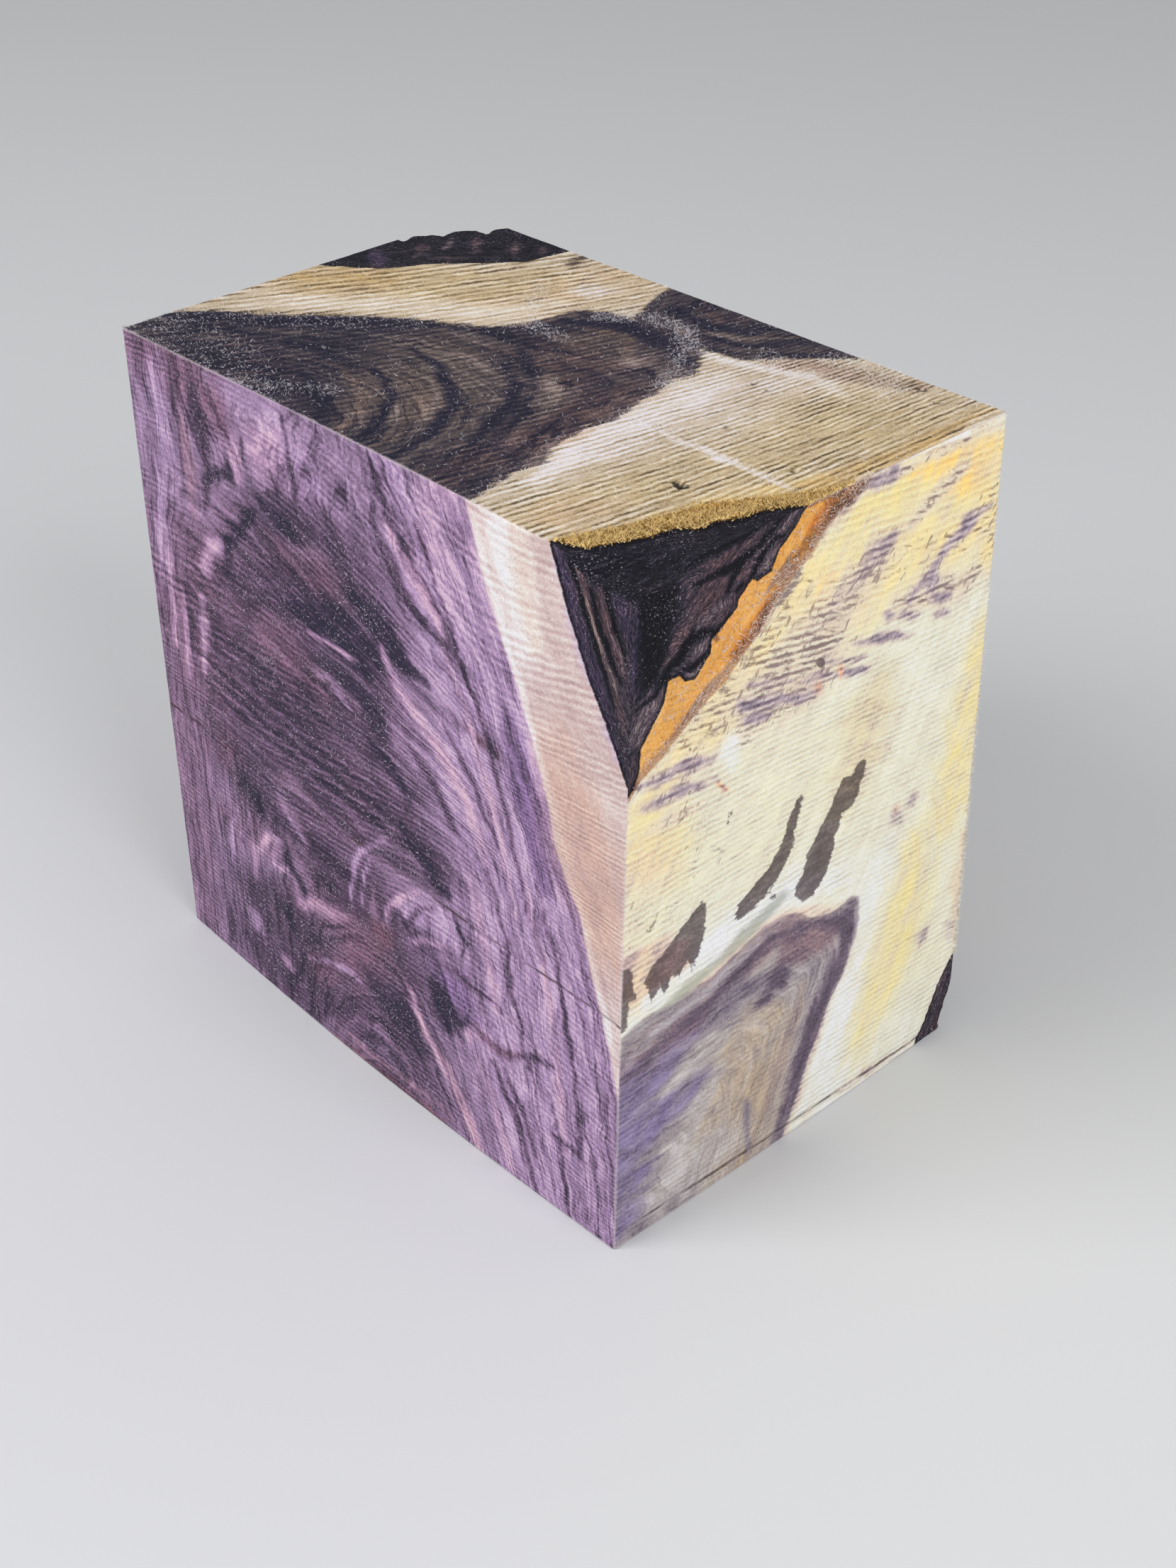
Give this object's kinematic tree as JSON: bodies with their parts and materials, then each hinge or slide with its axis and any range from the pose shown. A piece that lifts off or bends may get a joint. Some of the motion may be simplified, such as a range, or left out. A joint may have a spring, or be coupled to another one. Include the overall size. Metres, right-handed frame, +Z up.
{
  "type": "wood turning blank",
  "caption": "Rough-sawn block of forked walnut for turning, with dark heartwood, pale sapwood and bark left on some corners.",
  "frame": {"origin": "middle of the base, on the surface that the block stands on", "axes": "+Z up, +X across the front face, towards the face that is mostly sapwood, and +Y from the heartwood front face to the back"},
  "size_m": [0.2051, 0.141, 0.2034],
  "materials": {
    "walnut": "rough sawn, unfinished"
  },
  "bodies": {
    "root": {"turning_blank": "walnut"}
  },
  "joints": []
}
